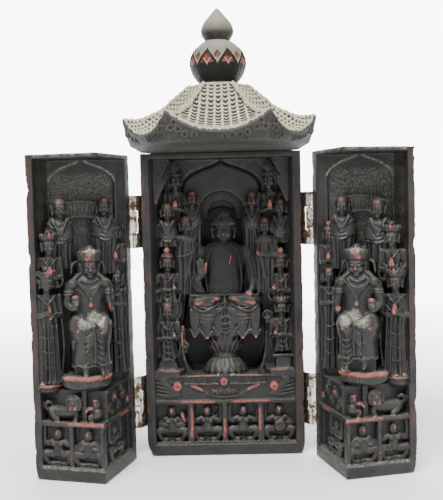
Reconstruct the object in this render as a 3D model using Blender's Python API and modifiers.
"""Folding shrine box: a carved, lacquered shrine of hexagonal plan, in metres, +Z up.

The central section is the back half of a hexagonal block, with a deep niche full of figures.
The front half is cut into two quarters, which hang on small hinges as the doors.
A tiled hexagonal roof sits on the central section, and a lotus finial sits on the roof.
Each door is modelled closed, around its hinge pins, and then turned open as it stands at rest.
The origin is the middle of the central section's underside. The front looks along -Y.
"""

import math

import bmesh
import bpy
from mathutils import Matrix, Vector

# The box
HEX_RADIUS = 0.049  # from the closed box's axis to a sharp side corner
BODY_HEIGHT = 0.1804
EDGE_BLUNTING = 0.0018  # how far each side corner is cut back
EDGE_SOFTENING = 0.0006
FACE_GAP = 0.0005  # between a closed door and what it closes against
DOOR_TOP_GAP = 0.0010
SEAT_GAP = 0.0003  # between pieces that rest on each other
CARVING_SETBACK = 0.0006  # carving stays this far behind the face that a door closes on
OPEN_ANGLE = math.radians(105.0)

# The central niche
FRAME_WIDTH = 0.0048
LINTEL = 0.0034
NICHE_DEPTH = 0.0160
VAULT_DEPTH = 0.0300
HALO_DEPTH = 0.0215
HALO_RADIUS = 0.0145
ARCH_RECESS = 0.0022
PANEL_RECESS = 0.0012  # how far the dais and the posts lie behind the frame
DAIS_TOP = 0.0475
DAIS_BAND = 0.0050
LEDGE_TOP = 0.0328
LEDGE_THICKNESS = 0.0020
CELL_FLOOR = 0.0072
CELL_DEPTH = 0.0075
CELL_COUNT = 4
POST_WIDTH = 0.0024

# The doors' niches
DOOR_WALL = 0.0052
DOOR_STRIP = 0.0045  # the plain strip along each upright edge
DOOR_LINTEL = 0.0016  # at the arch's tip
DOOR_SPRING = 0.0190  # from the arch's tip down to where its sides stand upright
DOOR_ARCH_RADIUS = 0.0186
DOOR_DAIS_TOP = 0.0490
DOOR_LEDGE_TOP = 0.0322
DOOR_CELL_DEPTH = 0.0060
LION_RECESS = 0.0085
CANOPY_RADIUS = 0.0165
CORNER_POST = 0.0034  # what is left beside the corner between a door's open faces
SCROLL_RECESS = 0.0028

# The figures
ATTENDANT_HEAD = 0.0090  # chin to crown
ATTENDANT_WIDTH = 0.0096
BUDDHA_HEIGHT = 0.0560  # from the seat to the crown of the head
LORD_HEIGHT = 0.0680  # from the skirt's hem to the top of the crown
SUNK = 0.0010  # how far carving reaches into what carries it
BODY_FACET_SHARE = 0.54  # the share of the carving's facets that is kept
DOOR_FACET_SHARE = 0.60
MEND_ROUNDS = 4  # tries at closing what thinning tore
SOLID_CORNERS = 4  # a shell with fewer corners encloses nothing

# The roof and the finial
ROOF_RADIUS = 0.0570
ROOF_RISE = 0.0414  # from the roof's underside to the finial's seat
ROOF_COLUMNS = 5  # columns of tiles on each side
TILE_RELIEF = 0.0007
HIP_RELIEF = 0.0013
SEAT_RADIUS = 0.0128
LOTUS_RADIUS = 0.0152
LOTUS_HEIGHT = 0.0246
LOTUS_PETALS = 8
BUD_RADIUS = 0.0094
BUD_HEIGHT = 0.0164

# The hinges
HINGE_RISE = 0.0330  # from the underside to the middle of each lower hinge
HINGE_DROP = 0.0399  # from the central section's top to the middle of each upper hinge
HINGE_LENGTH = 0.0310
KNUCKLE_SHARE = 0.29  # each end knuckle's share of the length
KNUCKLE_GAP = 0.0003
BARREL_RADIUS = 0.0020
PIN_RADIUS = 0.00085
PIN_CLEARANCE = 0.00010
LEAF_THICKNESS = 0.0008
LEAF_WIDTH = 0.0100
PIN_OUTBOARD = 0.0027  # from the sharp side corner out to the pin
ROUND_SIDES = 8

SLOPE = math.tan(math.radians(30.0))
HALF_DEPTH = HEX_RADIUS * math.cos(math.radians(30.0))
AXIS_Y = -HALF_DEPTH / 2
SIDE_FLAT = HEX_RADIUS - EDGE_BLUNTING
NICHE_HALF = SIDE_FLAT - FRAME_WIDTH
NICHE_TOP = BODY_HEIGHT - LINTEL
DOOR_HEIGHT = BODY_HEIGHT - DOOR_TOP_GAP
DOOR_TIP = DOOR_HEIGHT - DOOR_LINTEL
DOOR_PANEL = FACE_GAP + PANEL_RECESS
PIN_X = HEX_RADIUS + PIN_OUTBOARD
HINGE_HEIGHTS = {"lower": HINGE_RISE, "upper": BODY_HEIGHT - HINGE_DROP}
OVERCUT = 0.0030  # how far a cutter runs past the face that it opens
MM = 0.001
FRAME_GROUP = "frame"


def clear_scene():
    for old in list(bpy.data.objects):
        bpy.data.objects.remove(old, do_unlink=True)


def collection(name):
    made = bpy.data.collections.new(name)
    bpy.context.scene.collection.children.link(made)
    return made


def material(name, colour, roughness, metallic=0.0):
    made = bpy.data.materials.new(name)
    made.use_nodes = True
    shader = made.node_tree.nodes["Principled BSDF"]
    shader.inputs["Base Color"].default_value = (*colour, 1.0)
    shader.inputs["Roughness"].default_value = roughness
    shader.inputs["Metallic"].default_value = metallic
    return made


def turn(degrees, axis="Z"):
    return Matrix.Rotation(math.radians(degrees), 4, axis)


def mirrored(way):
    return Matrix.Scale(way, 4, (1, 0, 0))


class Carving:
    """Closed primitives gathered in one mesh, placed through the frame that is set at the time.

    They may overlap, because a Boolean unites them later.
    """

    def __init__(self, frame=None):
        self.bm = bmesh.new()
        self.frame = frame or Matrix.Identity(4)

    def blob(self, centre, radii, segments=6, rings=4):
        place = self.frame @ Matrix.Translation(centre) @ Matrix.Diagonal((*radii, 1.0))
        bmesh.ops.create_uvsphere(self.bm, u_segments=segments, v_segments=rings, radius=1.0, matrix=place)

    def limb(self, start, end, radius, end_radius=None, sides=4):
        start, end = Vector(start), Vector(end)
        run = end - start
        aim = run.to_track_quat("Z", "Y").to_matrix().to_4x4()
        bmesh.ops.create_cone(
            self.bm,
            cap_ends=True,
            segments=sides,
            radius1=radius,
            radius2=radius if end_radius is None else end_radius,
            depth=run.length,
            matrix=self.frame @ Matrix.Translation((start + end) / 2) @ aim,
        )

    def box(self, low, high):
        low, high = Vector(low), Vector(high)
        place = Matrix.Translation((low + high) / 2) @ Matrix.Diagonal((*(high - low), 1.0))
        bmesh.ops.create_cube(self.bm, size=1.0, matrix=self.frame @ place)

    def slab(self, outline, low, high, upright=False):
        """A flat outline filled from low to high: along Z, or along Y where it stands upright."""
        curve = bpy.data.curves.new("slab", "CURVE")
        curve.dimensions = "2D"
        curve.fill_mode = "BOTH"
        curve.extrude = (high - low) / 2 / MM
        spline = curve.splines.new("POLY")
        spline.points.add(len(outline) - 1)
        for point, (u, v) in zip(spline.points, outline):
            point.co = (u / MM, v / MM, 0.0, 1.0)
        spline.use_cyclic_u = True
        holder = bpy.data.objects.new("slab", curve)
        bpy.context.scene.collection.objects.link(holder)
        ready = holder.evaluated_get(bpy.context.evaluated_depsgraph_get())
        mesh = bpy.data.meshes.new_from_object(ready)
        bpy.data.objects.remove(holder)
        middle = (low + high) / 2
        place = Matrix.Translation((0, 0, middle))
        if upright:
            place = turn(90, "X") @ place.inverted()
        mesh.transform(self.frame @ place @ Matrix.Scale(MM, 4))
        before = set(self.bm.verts)
        self.bm.from_mesh(mesh)
        bpy.data.meshes.remove(mesh)
        added = [v for v in self.bm.verts if v not in before]
        bmesh.ops.remove_doubles(self.bm, verts=added, dist=0.00001)

    def column(self, sections, sides=8, drape=1.0):
        """A skin over level ellipses: each gives its centre, half width and half depth.

        Every second corner is drawn in by drape, as the folds of a robe or a row of petals.
        """
        turns = [2 * math.pi * (i + 0.5) / sides for i in range(sides)]
        pull = [drape if i % 2 else 1.0 for i in range(sides)]
        self.loft(
            [
                [(x + p * wide * math.cos(t), y + p * deep * math.sin(t), z) for t, p in zip(turns, pull)]
                for x, y, z, wide, deep in sections
            ]
        )

    def loft(self, rings):
        """A closed skin over rings of points, each ring with as many points, capped at both ends."""
        loops = [[self.bm.verts.new(self.frame @ Vector(p)) for p in ring] for ring in rings]
        for lower, upper in zip(loops, loops[1:]):
            for i in range(len(lower)):
                j = (i + 1) % len(lower)
                self.bm.faces.new((lower[i], lower[j], upper[j], upper[i]))
        self.bm.faces.new(loops[0][::-1])
        self.bm.faces.new(loops[-1])

    def finish(self, name, paint=None, group=None):
        bmesh.ops.recalc_face_normals(self.bm, faces=self.bm.faces[:])
        mesh = bpy.data.meshes.new(name)
        self.bm.to_mesh(mesh)
        self.bm.free()
        made = bpy.data.objects.new(name, mesh)
        if paint:
            mesh.materials.append(paint)
        (group or CUTTERS).objects.link(made)
        if not group:
            made.hide_render = True
            made.display_type = "WIRE"
        return made


def boolean(target, tool, operation):
    cut = target.modifiers.new(operation.lower(), "BOOLEAN")
    cut.operation = operation
    cut.solver = "EXACT"
    cut.use_self = True
    cut.object = tool


def fuse_flats(target):
    """Joins the flat faces that the Booleans left in pieces."""
    tidy = target.modifiers.new("fuse_flats", "DECIMATE")
    tidy.decimate_type = "DISSOLVE"
    tidy.angle_limit = math.radians(0.5)


def thin_out(target, share):
    """Takes out small facets of the carving, and leaves the block's own corners where they are."""
    fewer = target.modifiers.new("thin_out", "DECIMATE")
    fewer.decimate_type = "COLLAPSE"
    fewer.ratio = share
    fewer.vertex_group = FRAME_GROUP
    fewer.invert_vertex_group = True
    fewer.vertex_group_factor = 1000.0


def soften(target):
    bevel = target.modifiers.new("soften", "BEVEL")
    bevel.width = EDGE_SOFTENING
    bevel.segments = 1
    bevel.limit_method = "ANGLE"
    bevel.angle_limit = math.radians(50.0)


def shells(bm):
    """The mesh's separate shells, each as a set of vertices."""
    found, seen = [], set()
    for start in bm.verts:
        if start in seen:
            continue
        shell, waiting = {start}, [start]
        while waiting:
            near = {v for edge in waiting.pop().link_edges for v in edge.verts} - shell
            shell |= near
            waiting.extend(near)
        seen |= shell
        found.append(shell)
    return found


def mend(mesh):
    """Takes out what thinning leaves torn: bare edges, facets round an open edge, and flat slivers."""
    bm = bmesh.new()
    bm.from_mesh(mesh)
    for _ in range(MEND_ROUNDS):
        bare = [edge for edge in bm.edges if not edge.link_faces]
        bmesh.ops.delete(bm, geom=bare, context="EDGES")
        torn = {v for edge in bm.edges if len(edge.link_faces) != 2 for v in edge.verts}
        if not torn:
            break
        bmesh.ops.delete(bm, geom=list({f for v in torn for f in v.link_faces}), context="FACES")
        rim = [edge for edge in bm.edges if len(edge.link_faces) == 1]
        filled = bmesh.ops.holes_fill(bm, edges=rim, sides=0)["faces"]
        bmesh.ops.triangulate(bm, faces=filled)
    flat = [v for shell in shells(bm) if len(shell) < SOLID_CORNERS for v in shell]
    bmesh.ops.delete(bm, geom=flat, context="VERTS")
    bm.to_mesh(mesh)
    bm.free()


def carve(block, hollow, carving, share):
    """Cuts the hollow out of the block and unites the carving with what is left."""
    hollow.parent = carving.parent = block
    frame = block.vertex_groups.new(name=FRAME_GROUP)
    frame.add(list(range(len(block.data.vertices))), 1.0, "REPLACE")
    soften(block)
    boolean(block, hollow, "DIFFERENCE")
    boolean(block, carving, "UNION")
    thin_out(block, share)
    bpy.context.view_layer.update()
    carved = block.evaluated_get(bpy.context.evaluated_depsgraph_get())
    thinned = bpy.data.meshes.new_from_object(carved)
    block.modifiers.clear()
    block.data = thinned
    for tool in (hollow, carving):
        bpy.data.objects.remove(tool, do_unlink=True)
    mend(thinned)


def ogee(middle, half, foot, spring, tip, steps=6):
    """An onion arch: upright sides up to the spring line, round shoulders and a pointed tip."""
    right = [(half, foot)]
    for i in range(steps + 1):
        t = i / steps
        across = half * (1 - t) ** 0.6
        up = spring + (tip - spring) * (0.72 * math.sin(t * math.pi / 2) + 0.28 * t**4)
        right.append((across, up))
    return [(middle + u, v) for u, v in right] + [(middle - u, v) for u, v in reversed(right[:-1])]


def arch(radius, foot, centre, steps=8):
    """A round arch's right half, from its foot up to the crown."""
    turns = [math.pi / 2 * i / steps for i in range(steps + 1)]
    return [(radius, foot)] + [(radius * math.cos(t), centre + radius * math.sin(t)) for t in turns]


def both_sides(right):
    """Completes a right half that ends on the middle line."""
    return right + [(-u, v) for u, v in reversed(right[:-1])]


# The figures. Each stands in a frame whose X runs across, Y into the wall and Z up. It faces -Y.


def head(carving, x, y, z, size, crown="bald"):
    """A head with its middle at y and z. size is its height."""
    carving.blob((x, y, z), (0.41 * size, 0.42 * size, 0.52 * size))
    behind = y + 0.08 * size
    if crown == "topknot":
        carving.limb((x, behind, z + 0.3 * size), (x, behind, z + 1.12 * size), 0.34 * size, 0.12 * size, 5)
    elif crown == "crown":
        carving.limb((x, behind, z + 0.15 * size), (x, behind, z + 0.78 * size), 0.42 * size, 0.50 * size, 7)
    elif crown == "bun":
        carving.limb((x, behind, z + 0.3 * size), (x, behind, z + 0.80 * size), 0.24 * size, 0.14 * size)
    elif crown == "halo":
        carving.limb((x, behind, z), (x, behind + 0.3 * size, z), 0.86 * size, sides=8)


def attendant(carving, x, foot, top, front, wall, crown="bald", hands="prayer"):
    """A robed figure from foot to the top of its head, with its back sunk in the wall."""
    half = ATTENDANT_WIDTH / 2
    size = ATTENDANT_HEAD
    shoulder = top - 0.96 * size
    tall = shoulder - foot
    back = wall + SUNK
    shape = [(0.0, 0.96, 0.0), (0.45, 0.82, 0.8), (0.90, 0.98, 0.2), (1.08, 0.34, 1.6)]
    sections = []
    for up, wide, recess in shape:
        face = front + recess * MM
        sections.append((x, (face + back) / 2, foot + up * tall, wide * half, (back - face) / 2))
    carving.column(sections, 8, 0.90)
    head(carving, x, front + 0.44 * size, top - 0.52 * size, size, crown)
    chest = shoulder - 0.85 * size
    if hands == "prayer":
        palms = (x, front + 0.08 * size, chest - 0.3 * size)
        carving.limb(palms, (x, front, chest + 0.5 * size), 0.2 * size, 0.08 * size)
        for way in (-1, 1):
            elbow = (x + way * 0.84 * half, front + 0.45 * size, chest - 0.3 * size)
            carving.limb(elbow, (x, front + 0.14 * size, chest - 0.1 * size), 0.2 * size, 0.15 * size)
    elif hands == "offering":
        inward = -math.copysign(half, x)
        elbow = (x - 0.8 * inward, front + 0.45 * size, chest)
        hand = (x + 0.6 * inward, front + 0.08 * size, chest - 0.25 * size)
        carving.limb(elbow, hand, 0.2 * size, 0.24 * size)


def bearer(carving, x, foot, tall, front, wall):
    """A squatting dwarf with both arms lifted, in its cell."""
    middle = (front + wall) / 2
    deep = (wall + SUNK - front) / 2
    thick = min(0.13 * tall, 0.46 * (wall - front) + 0.4 * MM)
    carving.blob((x, middle, foot + 0.44 * tall), (0.19 * tall, deep, 0.24 * tall), 5)
    carving.blob((x, middle, foot + 0.82 * tall), (0.14 * tall, deep, 0.17 * tall), 5)
    for way in (-1, 1):
        hip = (x + way * 0.05 * tall, middle, foot + 0.22 * tall)
        knee = (x + way * 0.36 * tall, front + 0.17 * tall, foot + 0.12 * tall)
        carving.limb(hip, knee, thick, 0.9 * thick)
        shoulder = (x + way * 0.10 * tall, middle, foot + 0.50 * tall)
        hand = (x + way * 0.36 * tall, middle, foot + 0.84 * tall)
        carving.limb(shoulder, hand, 0.8 * thick, 0.7 * thick)


def lion(carving, x, foot, tall, front, wall, way):
    """A crouching lion with its head turned out. way is the side that its body runs to."""
    middle = (front + wall) / 2
    deep = (wall + SUNK - front) / 2
    carving.blob((x, middle - 0.1 * tall, foot + 0.66 * tall), (0.36 * tall, deep, 0.36 * tall), 7)
    carving.blob((x + way * 0.75 * tall, middle, foot + 0.34 * tall), (0.72 * tall, deep, 0.30 * tall))
    leg = front + 0.2 * tall
    carving.limb((x, leg, foot - SUNK), (x, leg, foot + 0.4 * tall), 0.16 * tall)


def lotus(carving, x, y, low, high, wide, deep):
    """A low bowl of petals under a flat top."""
    shape = [(0.0, 0.62), (0.7, 1.0), (1.0, 0.94)]
    sections = [(x, y, low + up * (high - low), share * wide, share * deep) for up, share in shape]
    carving.column(sections, 10, 0.93)


def buddha(carving, front):
    """The teaching figure on its draped seat and lotus stem, joined to the back of the vault."""
    tall = BUDDHA_HEIGHT
    middle = front + 0.0115
    lotus_top = DAIS_TOP + 0.39 * tall
    stem = [(-0.02, 0.255), (0.08, 0.230), (0.19, 0.140), (0.26, 0.150), (0.40, 0.225)]
    sections = [(0.0, middle, DAIS_TOP + u * tall, w * tall, 0.72 * w * tall) for u, w in stem]
    carving.column(sections, 12, 0.93)
    seat = lotus_top + 0.33 * tall
    hem = [(-0.36, 0.09), (-0.26, 0.05), (-0.20, -0.01), (0.0, 0.03)]
    hem += [(0.20, -0.01), (0.26, 0.05), (0.37, 0.08)]
    outline = [(u * tall, lotus_top + v * tall) for u, v in hem]
    outline += [(0.37 * tall, seat), (-0.36 * tall, seat)]
    carving.slab(outline, front + 0.0020, VAULT_DEPTH - 0.0060, upright=True)
    lap = seat + 0.02 * tall
    for way in (-1, 1):
        knee = (way * 0.245 * tall, middle - 0.02 * tall, lap)
        carving.blob(knee, (0.135 * tall, 0.155 * tall, 0.105 * tall))
        shin = (way * 0.22 * tall, middle - 0.06 * tall, lap)
        carving.limb((0, middle - 0.07 * tall, lap), shin, 0.10 * tall, 0.09 * tall)
    torso = [(-0.08, 0.24, 0.14), (0.14, 0.18, 0.12), (0.45, 0.265, 0.13), (0.55, 0.24, 0.11)]
    torso.append((0.66, 0.09, 0.07))
    chest = middle + 0.03 * tall
    carving.column([(0.0, chest, lap + u * tall, w * tall, d * tall) for u, w, d in torso], 10, 0.95)
    head(carving, 0.0, middle + 0.01 * tall, lap + 0.79 * tall, 0.27 * tall, "bun")
    half = 0.12 * tall
    low = (-half, middle + 0.08 * tall, DAIS_TOP + 0.03 * tall)
    carving.box(low, (half, VAULT_DEPTH + SUNK, lap + 0.85 * tall))
    for way, rise in ((-1, 0.33), (1, 0.10)):
        shoulder = (way * 0.25 * tall, middle + 0.02 * tall, lap + 0.46 * tall)
        elbow = (way * 0.30 * tall, middle - 0.01 * tall, lap + 0.18 * tall)
        wrist = (way * 0.25 * tall, front + 0.075 * tall, lap + rise * tall)
        carving.limb(shoulder, elbow, 0.07 * tall, 0.065 * tall, 5)
        carving.limb(elbow, wrist, 0.062 * tall, 0.042 * tall, 5)
        if way < 0:
            palm = (way * 0.24 * tall, front + 0.06 * tall, lap + 0.42 * tall)
            carving.blob(palm, (0.05 * tall, 0.03 * tall, 0.11 * tall))


def lord(carving, x, hem, front, wall, raised):
    """The crowned figure that sits with legs down. raised is the side of its lifted hand."""
    tall = LORD_HEIGHT
    deep = (wall + SUNK - front) / 2
    skirt = [(0.0, 0.155, 0.10, 0.17), (0.14, 0.148, 0.09, 0.15), (0.30, 0.172, 0.13, 0.15)]
    skirt.append((0.40, 0.165, 0.13, 0.16))
    sections = [(x, front + y * tall, hem + u * tall, w * tall, d * tall) for u, w, d, y in skirt]
    carving.column(sections, 10, 0.92)
    body = [(0.03, 0.11, 0.12), (0.40, 0.12, 0.09), (0.64, 0.165, 0.07), (0.78, 0.05, 0.10)]
    sections = []
    for up, wide, recess in body:
        half_depth = deep - recess * tall / 2
        centre = (x + 0.01 * tall, wall + SUNK - half_depth, hem + up * tall)
        sections.append((*centre, wide * tall, half_depth))
    carving.column(sections, 8)
    head(carving, x + 0.02 * tall, front + 0.17 * tall, hem + 0.83 * tall, 0.19 * tall, "crown")
    for way in (-1, 1):
        lift = 0.53 if way == raised else 0.45
        shoulder = (x + way * 0.145 * tall, front + 0.15 * tall, hem + 0.64 * tall)
        elbow = (x + way * 0.165 * tall, front + 0.13 * tall, hem + 0.46 * tall)
        hand = (x + way * 0.13 * tall, front + (0.03 if way == raised else 0.06) * tall, hem + lift * tall)
        carving.limb(shoulder, elbow, 0.048 * tall, 0.044 * tall)
        carving.limb(elbow, hand, 0.042 * tall, 0.030 * tall)


# The central section


def half_hexagon():
    """The central section's plan, with the open front on y = 0."""
    right = [(SIDE_FLAT, 0.0), (SIDE_FLAT, EDGE_BLUNTING / SLOPE), (HEX_RADIUS / 2, HALF_DEPTH)]
    return right + [(-x, y) for x, y in reversed(right)]


def cells(hollow, low, high, floor, ceiling, depth, count):
    """A row of square recesses with posts between them."""
    pitch = (high - low + POST_WIDTH) / count
    for i in range(count):
        left = low + i * pitch
        hollow.box((left, -OVERCUT, floor), (left + pitch - POST_WIDTH, depth, ceiling))
    return [low + (i + 0.5) * pitch - POST_WIDTH / 2 for i in range(count)]


def central_hollow():
    hollow = Carving()
    tall = NICHE_TOP - DAIS_TOP
    taper = NICHE_HALF - NICHE_DEPTH * SLOPE + MM
    plan = [(NICHE_HALF, -OVERCUT), (NICHE_HALF, 2 * MM), (taper, NICHE_DEPTH)]
    hollow.slab(plan + [(-x, y) for x, y in reversed(plan)], DAIS_TOP, NICHE_TOP)
    foot, spring = NICHE_TOP - 0.4635 * tall, NICHE_TOP - 0.1236 * tall
    panel = ogee(0.0, 0.56 * NICHE_HALF, foot, spring, NICHE_TOP - MM)
    hollow.slab(panel, NICHE_DEPTH - OVERCUT, NICHE_DEPTH + ARCH_RECESS, upright=True)
    crown = NICHE_TOP - 0.0195 - HALO_RADIUS
    halo = arch(HALO_RADIUS, NICHE_TOP - 0.064, crown)
    hollow.slab(both_sides(halo), NICHE_DEPTH - OVERCUT, HALO_DEPTH, upright=True)
    inner = HALO_RADIUS - 0.3 * MM
    # The void's upright sides: across as shares of the niche's half width, up as shares of its height.
    void = [(0.472, 0.003), (0.590, 0.097), (0.601, 0.193), (0.531, 0.371)]
    sides = [(u * NICHE_HALF, DAIS_TOP + v * tall) for u, v in void]
    right = sides + arch(inner, NICHE_TOP - 0.506 * tall, crown - 9 * MM)
    hollow.slab(both_sides(right), NICHE_DEPTH - OVERCUT - MM, VAULT_DEPTH, upright=True)
    hollow.box((-NICHE_HALF, -OVERCUT, CELL_FLOOR - MM), (NICHE_HALF, PANEL_RECESS, DAIS_TOP + MM))
    return hollow


def central_carving(hollow):
    """Everything that stands in the niche, and the cells below, which are cut to match."""
    carving = Carving()
    front = CARVING_SETBACK
    tall = NICHE_TOP - DAIS_TOP
    # Each attendant: across, top and foot as shares of the niche, how far behind the front, and its dress.
    attendants = [
        (0.667, 0.936, 0.770, 0.0075, "topknot", "prayer"),
        (0.416, 0.848, 0.560, 0.0068, "bald", "sleeves"),
        (0.800, 0.800, 0.600, 0.0048, "bald", "sleeves"),
        (0.557, 0.727, 0.370, 0.0036, "bald", "offering"),
        (0.802, 0.560, 0.320, 0.0024, "bun", "offering"),
        (0.820, 0.344, 0.024, 0.0016, "halo", "prayer"),
    ]
    for way in (-1, 1):
        for across, top, foot, depth, crown, hands in attendants:
            x = way * across * NICHE_HALF
            low, high = DAIS_TOP + foot * tall, DAIS_TOP + top * tall
            attendant(carving, x, low, high, front + depth, NICHE_DEPTH, crown, hands)
        inner, outer, face = 0.70 * NICHE_HALF, NICHE_HALF + SUNK, front + 0.4 * MM
        plan = [(outer, face), (inner, face), (inner, NICHE_DEPTH + SUNK)]
        plan.append((NICHE_HALF - NICHE_DEPTH * SLOPE + 2 * MM, NICHE_DEPTH + SUNK))
        carving.slab([(way * x, y) for x, y in plan], DAIS_TOP - SUNK, DAIS_TOP + 0.0036)
    kneeling = -0.61 * NICHE_HALF
    carving.blob((kneeling, 0.75 * NICHE_DEPTH, DAIS_TOP + 0.170 * tall), (0.0032, 0.0062, 0.0048))
    carving.blob((kneeling, 0.70 * NICHE_DEPTH, DAIS_TOP + 0.210 * tall), (0.0020, 0.0050, 0.0024))
    buddha(carving, front)
    band = 0.59 * NICHE_HALF
    inside = PANEL_RECESS + SUNK
    carving.box((-band, front, DAIS_TOP - DAIS_BAND), (band, inside, DAIS_TOP + 0.3 * MM))
    ceiling = LEDGE_TOP - LEDGE_THICKNESS
    edge = NICHE_HALF + SUNK
    carving.box((-edge, front, ceiling - 0.3 * MM), (edge, inside, LEDGE_TOP))
    for across in (-0.68, 0.0, 0.68):
        x = across * NICHE_HALF
        height = DAIS_TOP - (0.8 if across == 0 else 1.35) * DAIS_BAND
        carving.limb((x, front + 0.1 * MM, height), (x, inside, height), 0.0024, 0.0030, 8)
    for x in cells(hollow, -NICHE_HALF, NICHE_HALF, CELL_FLOOR, ceiling, CELL_DEPTH, CELL_COUNT):
        bearer(carving, x, CELL_FLOOR, ceiling - CELL_FLOOR - MM, front + MM, CELL_DEPTH)
    return carving


def make_body():
    block = Carving()
    block.slab(half_hexagon(), 0.0, BODY_HEIGHT)
    body = block.finish("shrine_body", LACQUER, SHRINE)
    hollow = central_hollow()
    carving = central_carving(hollow)
    hollow, carving = hollow.finish("central_cutter"), carving.finish("central_carving")
    carve(body, hollow, carving, BODY_FACET_SHARE)
    body.location.y = AXIS_Y
    return body


# The doors. Each is drawn as the left one, closed, round the box's axis. Three frames share that axis:
# BACK faces the back wall, FREE faces the edge that swings, and HINGED the face beside the hinges.

BACK = turn(120)
FREE = turn(90)
HINGED = turn(180)
FREE_LENGTH = HALF_DEPTH
HINGED_LENGTH = SIDE_FLAT


def quarter_hexagon():
    """The closed left door's plan."""
    open_side = [(-FACE_GAP, -HALF_DEPTH), (-FACE_GAP, -FACE_GAP), (-SIDE_FLAT, -FACE_GAP)]
    return open_side + [(-SIDE_FLAT, -EDGE_BLUNTING / SLOPE), (-HEX_RADIUS / 2, -HALF_DEPTH)]


def face_band(outside, inside, overlap):
    """A plan that follows both open faces round the corner between them, as far as the edge strips."""
    far = HINGED_LENGTH - DOOR_STRIP + overlap
    free = FREE_LENGTH - DOOR_STRIP + overlap
    outer = [(-far, outside), (-far, -inside), (-inside, -inside), (-inside, -free), (outside, -free)]
    return outer + [(outside, outside)]


def door_hollow(shift):
    hollow = Carving(shift @ BACK)
    back = HALF_DEPTH - DOOR_WALL
    strip = DOOR_STRIP * math.sin(math.radians(60.0))
    hinge_edge = HEX_RADIUS / 2 - DOOR_STRIP / 2
    free_x = -0.75 * HEX_RADIUS + strip
    free_y = HALF_DEPTH / 2 - DOOR_STRIP / 2
    plan = [
        (hinge_edge, (HINGED_LENGTH - DOOR_STRIP) * math.sin(math.radians(60.0)) - DOOR_WALL / 2),
        (hinge_edge - 0.0015, back),
        (-HEX_RADIUS / 2 + DOOR_WALL / 2, back),
        (free_x + 0.6 * MM, free_y + 2 * MM),
        (free_x - OVERCUT, free_y - OVERCUT / SLOPE),
        (0.0, -4 * OVERCUT),
        (hinge_edge + OVERCUT, (hinge_edge - OVERCUT) / SLOPE),
    ]
    hollow.slab(plan, DOOR_DAIS_TOP, DOOR_TIP - DOOR_SPRING / 4)
    vault = ogee(-MM, DOOR_ARCH_RADIUS, DOOR_TIP - DOOR_SPRING - 0.01, DOOR_TIP - DOOR_SPRING, DOOR_TIP)
    hollow.slab(vault, -OVERCUT, back + 0.0012, upright=True)
    hollow.frame = shift @ FREE
    low = -FREE_LENGTH + DOOR_STRIP
    hollow.box((low, -OVERCUT, DOOR_LEDGE_TOP), (OVERCUT, LION_RECESS, DOOR_DAIS_TOP + MM))
    hollow.frame = shift @ HINGED
    high = HINGED_LENGTH - DOOR_STRIP
    panel_foot, panel_top = DOOR_LEDGE_TOP + MM / 2, DOOR_DAIS_TOP + MM / 2
    hollow.box((LION_RECESS + MM, -OVERCUT, panel_foot), (high, SCROLL_RECESS, panel_top))
    hollow.frame = shift
    hollow.slab(face_band(OVERCUT, DOOR_PANEL, 0.0), CELL_FLOOR - MM, DOOR_DAIS_TOP - MM)
    return hollow


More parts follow.
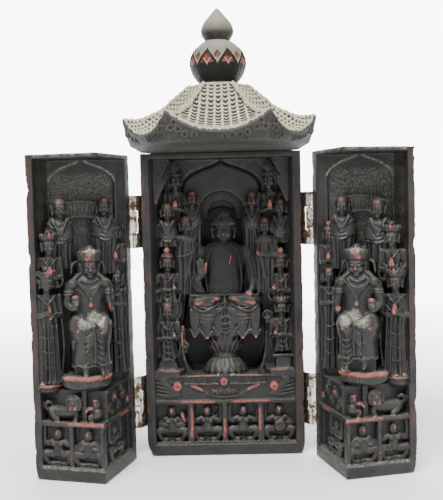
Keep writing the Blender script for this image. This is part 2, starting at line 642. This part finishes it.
def door_carving(shift, hollow):
    """What stands in the door's niche, and the cells below, which are cut to match."""
    carving = Carving(shift @ BACK)
    tall = DOOR_TIP - DOOR_DAIS_TOP
    back = HALF_DEPTH - DOOR_WALL
    # Each attendant: across as a share of the back wall's half width, top and foot as shares of the
    # niche's height, the front and the wall as shares of the back wall's depth, and its dress.
    attendants = [
        (-0.755, 0.815, 0.420, 0.65, 0.99, "bald", "sleeves"),
        (0.270, 0.815, 0.420, 0.74, 1.00, "bald", "sleeves"),
        (-1.020, 0.660, 0.480, 0.53, 0.83, "crown", "prayer"),
        (0.490, 0.695, 0.400, 0.80, 1.00, "bun", "prayer"),
        (-1.100, 0.500, 0.020, 0.50, 0.80, "crown", "offering"),
        (0.510, 0.500, 0.020, 0.82, 1.00, "bald", "offering"),
    ]
    for across, top, foot, front, wall, crown, hands in attendants:
        x = across * HEX_RADIUS / 2
        low, high = DOOR_DAIS_TOP + foot * tall, DOOR_DAIS_TOP + top * tall
        attendant(carving, x, low, high, front * back, wall * back, crown, hands)
    # A low canopy spans the wall behind the crowned figure.
    spring = DOOR_DAIS_TOP + 0.70 * tall
    canopy = [(u - 6 * MM, spring + 0.7 * v) for u, v in both_sides(arch(CANOPY_RADIUS, -2 * MM, 0.0))]
    carving.slab(canopy, 0.90 * back, back + SUNK, upright=True)
    middle = -0.25 * HEX_RADIUS / 2
    foot, top = DOOR_DAIS_TOP - MM / 2, DOOR_DAIS_TOP + 0.065 * tall
    lotus(carving, middle, 0.60 * back, foot, top, 0.20 * LORD_HEIGHT, 0.176 * LORD_HEIGHT)
    side, foot, top = -1.08 * HEX_RADIUS / 2, DOOR_DAIS_TOP - 1.5 * MM, DOOR_DAIS_TOP + 0.025 * tall
    lotus(carving, side, 0.66 * back, foot, top, 0.1 * LORD_HEIGHT, 0.082 * LORD_HEIGHT)
    low = (middle - 9 * MM, 0.55 * back, DOOR_DAIS_TOP - SUNK)
    carving.box(low, (middle + 10 * MM, back + SUNK, DOOR_DAIS_TOP + 0.28 * tall))
    lord(carving, middle + 0.5 * MM, DOOR_DAIS_TOP + 0.10 * tall, 0.27 * back, back, -1)
    ceiling = DOOR_LEDGE_TOP - LEDGE_THICKNESS
    carving.frame = shift @ FREE
    hollow.frame = shift @ FREE
    low = -FREE_LENGTH + DOOR_STRIP
    lion(carving, 0.50 * low, DOOR_LEDGE_TOP, 0.0150, DOOR_PANEL + 1.3 * MM, LION_RECESS, -1)
    carving.blob((0.18 * low, LION_RECESS - 2 * MM, DOOR_LEDGE_TOP + 0.0062), (0.0042, 0.0045, 0.0070))
    height = ceiling - CELL_FLOOR - MM
    for x in cells(hollow, low, -CORNER_POST, CELL_FLOOR, ceiling, DOOR_CELL_DEPTH, 2):
        bearer(carving, x, CELL_FLOOR, height, DOOR_PANEL + 0.4 * MM, DOOR_CELL_DEPTH)
    carving.frame = shift @ HINGED
    hollow.frame = shift @ HINGED
    high = HINGED_LENGTH - DOOR_STRIP
    depth = 0.7 * DOOR_CELL_DEPTH
    for x in cells(hollow, DOOR_CELL_DEPTH + MM, high, CELL_FLOOR, ceiling, depth, 1):
        bearer(carving, x, CELL_FLOOR, height, DOOR_PANEL + 0.2 * MM, depth)
    carving.frame = shift
    face = FACE_GAP + CARVING_SETBACK
    carving.slab(face_band(-face, DOOR_PANEL + SUNK, SUNK), ceiling - 0.3 * MM, DOOR_LEDGE_TOP + 0.4 * MM)
    return carving


def make_door(side, way):
    shift = mirrored(-way) @ Matrix.Translation((PIN_X, 0, 0))
    block = Carving(shift)
    block.slab(quarter_hexagon(), 0.0, DOOR_HEIGHT)
    door = block.finish(side + "_door", LACQUER, SHRINE)
    hollow = door_hollow(shift)
    carving = door_carving(shift, hollow)
    hollow, carving = hollow.finish(side + "_door_cutter"), carving.finish(side + "_door_carving")
    carve(door, hollow, carving, DOOR_FACET_SHARE)
    door.location = (way * PIN_X, AXIS_Y, 0.0)
    door.rotation_euler.z = way * OPEN_ANGLE
    return door


# The hinges. A leaf lies in a frame whose origin is the pin, X runs along the wall and Y into it.

LEAF_WALL = PIN_OUTBOARD * math.cos(math.radians(30.0))
LEAF_OUTER = LEAF_WALL - SEAT_GAP - LEAF_THICKNESS
LEAF_START = math.sqrt((BARREL_RADIUS + KNUCKLE_GAP) ** 2 - LEAF_OUTER**2)


def leaf(name, frame, low, spans):
    """A hinge leaf over the whole length, with a bored knuckle on each span of heights."""
    shape = Carving(frame)
    inner = LEAF_OUTER + LEAF_THICKNESS
    shape.box((LEAF_START, LEAF_OUTER, low), (LEAF_START + LEAF_WIDTH, inner, low + HINGE_LENGTH))
    bore = Carving(frame)
    for start, end in spans:
        shape.box((0, LEAF_OUTER, start), (LEAF_START + MM, inner, end))
        shape.limb((0, 0, start), (0, 0, end), BARREL_RADIUS, sides=ROUND_SIDES)
        bore.limb((0, 0, start - MM), (0, 0, end + MM), PIN_RADIUS + PIN_CLEARANCE, sides=ROUND_SIDES)
    made = shape.finish(name, NICKEL, SHRINE)
    hole = bore.finish(name + "_bore")
    hole.parent = made
    boolean(made, hole, "DIFFERENCE")
    fuse_flats(made)
    return made


def make_hinges(side, way, door):
    on_body = mirrored(way) @ turn(120)
    on_door = mirrored(way) @ Matrix.Scale(-1, 4, (0, 1, 0)) @ turn(120)
    for level, low in HINGE_HEIGHTS.items():
        low -= HINGE_LENGTH / 2
        name = f"{side}_{level}_hinge"
        end = KNUCKLE_SHARE * HINGE_LENGTH
        half_gap = KNUCKLE_GAP / 2
        ends = [(low, low + end - half_gap), (low + HINGE_LENGTH - end + half_gap, low + HINGE_LENGTH)]
        body_leaf = leaf(name + "_body_leaf", on_body, low, ends)
        body_leaf.location = (way * PIN_X, AXIS_Y, 0.0)
        middle = [(low + end + half_gap, low + HINGE_LENGTH - end - half_gap)]
        door_leaf = leaf(name + "_door_leaf", on_door, low, middle)
        door_leaf.parent = door
        pin = Carving()
        pin.limb((0, 0, low), (0, 0, low + HINGE_LENGTH), PIN_RADIUS, sides=ROUND_SIDES)
        made = pin.finish(name + "_pin", NICKEL, SHRINE)
        made.location = (way * PIN_X, AXIS_Y, 0.0)


# The roof and the finial


def roof_ring(radius, height, lift, relief):
    """One hexagonal ring of the roof, with its corners turned up and its columns of tiles in relief."""
    steps = 2 * ROOF_COLUMNS
    points = []
    for side in range(6):
        start, end = (
            Vector((math.cos(math.radians(60 * k)), math.sin(math.radians(60 * k)), 0.0)) * radius
            for k in (side, side + 1)
        )
        for i in range(steps):
            t = i / steps
            crest = HIP_RELIEF if i == 0 else TILE_RELIEF * (i % 2)
            up = height + lift * abs(2 * t - 1) ** 2.2 + (crest if relief else 0.0)
            point = start.lerp(end, t)
            points.append((point.x, point.y, up))
    return points


def make_roof():
    # Each ring: its corner radius as a share of the roof's, the height at the middle of a side and
    # how much more its corners rise as shares of the roof's rise, and whether it is tiled.
    rings = [
        (0.810, 0.000, 0.000, False),
        (0.920, 0.090, 0.000, False),
        (1.000, 0.190, 0.280, False),
        (0.985, 0.235, 0.262, True),
        (0.860, 0.270, 0.185, True),
        (0.715, 0.385, 0.120, True),
        (0.570, 0.545, 0.065, True),
        (0.395, 0.795, 0.030, True),
        (SEAT_RADIUS / ROOF_RADIUS, 1.000, 0.000, False),
    ]
    shape = Carving()
    shape.loft([roof_ring(r * ROOF_RADIUS, u * ROOF_RISE, v * ROOF_RISE, tiled) for r, u, v, tiled in rings])
    roof = shape.finish("roof", TILES, SHRINE)
    roof.location = (0.0, AXIS_Y, BODY_HEIGHT + SEAT_GAP)
    return roof


def make_finial():
    bud = [(0.0, 1.0), (0.12, 0.93), (0.45, 0.72), (0.82, 0.50), (1.0, 0.30), (0.94, 0.12)]
    bud.append((0.66, 0.0))
    profile = [(r * BUD_RADIUS, LOTUS_HEIGHT + up * BUD_HEIGHT) for r, up in bud]
    steps, top, bottom = 5, math.radians(66.0), math.radians(-46.0)
    for i in range(steps + 1):
        t = top + (bottom - top) * i / steps
        up = LOTUS_HEIGHT * (0.47 + 0.53 * math.sin(t) / math.sin(top))
        profile.append((LOTUS_RADIUS * math.cos(t), up))
    profile += [(profile[-1][0], 0.0), (0.0, 0.0)]
    mesh = bpy.data.meshes.new("finial")
    mesh.from_pydata([(r, 0.0, up) for r, up in profile], [(i, i + 1) for i in range(len(profile) - 1)], [])
    finial = bpy.data.objects.new("finial", mesh)
    mesh.materials.append(BRONZE)
    SHRINE.objects.link(finial)
    screw = finial.modifiers.new("turn", "SCREW")
    screw.steps = screw.render_steps = 12
    screw.use_merge_vertices = True
    screw.merge_threshold = 0.00001
    petals = Carving()
    for i in range(LOTUS_PETALS):
        petals.frame = turn(360.0 * (i + 0.5) / LOTUS_PETALS)
        radii = (0.25 * LOTUS_RADIUS, 0.36 * LOTUS_RADIUS, 0.42 * LOTUS_HEIGHT)
        petals.blob((0.80 * LOTUS_RADIUS, 0, 0.45 * LOTUS_HEIGHT), radii)
    petals = petals.finish("finial_petals")
    petals.parent = finial
    boolean(finial, petals, "UNION")
    finial.location = (0.0, AXIS_Y, BODY_HEIGHT + ROOF_RISE + 2 * SEAT_GAP)
    return finial


clear_scene()
SHRINE = collection("folding_shrine_box")
CUTTERS = collection("cutters")
LACQUER = material("black_lacquer", (0.022, 0.021, 0.020), 0.42)
TILES = material("dusty_tiles", (0.28, 0.26, 0.22), 0.60)
BRONZE = material("grey_bronze", (0.20, 0.20, 0.18), 0.40, 0.3)
NICKEL = material("hinge_nickel", (0.62, 0.58, 0.52), 0.28, 1.0)

make_body()
for side, way in (("left", -1), ("right", 1)):
    make_hinges(side, way, make_door(side, way))
make_roof()
make_finial()
